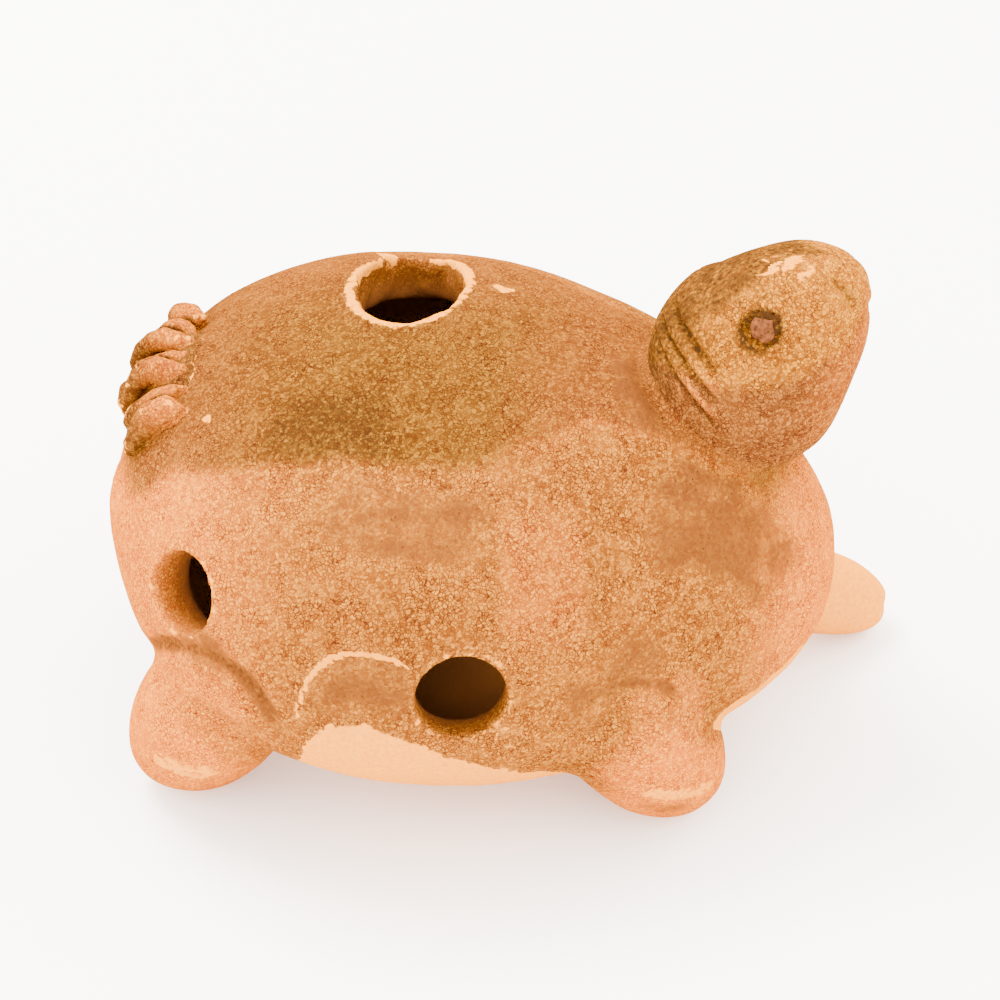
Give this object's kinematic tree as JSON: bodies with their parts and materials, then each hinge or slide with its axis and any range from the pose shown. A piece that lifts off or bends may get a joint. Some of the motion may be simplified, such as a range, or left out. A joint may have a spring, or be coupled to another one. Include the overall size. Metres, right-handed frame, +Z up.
{
  "type": "turtle ocarina",
  "caption": "Pocket-sized vessel flute of crackle-glazed clay in the shape of a turtle, with a blow hole in its back and finger holes in its flank.",
  "frame": {"origin": "middle of the bounding box's bottom, on the surface that the feet stand on", "axes": "+X from tail to head, +Y to the turtle's left, +Z up"},
  "size_m": [0.0718, 0.0568, 0.0518],
  "materials": {
    "glazed_body": "crackled semi-gloss glaze, pinkish tan on the flanks and amber olive on the back",
    "belly_clay": "bare fired clay, matt",
    "glazed_head": "crackled semi-gloss glaze, amber olive above and pinkish tan below",
    "eye_clay": "matt, glaze worn away",
    "glazed_tail": "crackled semi-gloss glaze, pale on the ridges and dark in the grooves"
  },
  "bodies": {
    "root": {"back_shell": "glazed_body", "belly_shell": "belly_clay", "head": "glazed_head", "right_eye": "eye_clay", "left_eye": "eye_clay", "neck_slip": "glazed_body", "rear_right_foot": "glazed_body", "rear_right_foot_slip": "glazed_body", "rear_left_foot": "glazed_body", "rear_left_foot_slip": "glazed_body", "front_right_foot": "glazed_body", "front_right_foot_slip": "glazed_body", "front_left_foot": "glazed_body", "front_left_foot_slip": "glazed_body", "tail_pad": "glazed_tail", "tail_strand_1": "glazed_tail", "tail_strand_2": "glazed_tail", "tail_strand_3": "glazed_tail", "tail_strand_4": "glazed_tail", "tail_strand_5": "glazed_tail", "tail_strand_6": "glazed_tail", "tail_strand_7": "glazed_tail"}
  },
  "joints": []
}
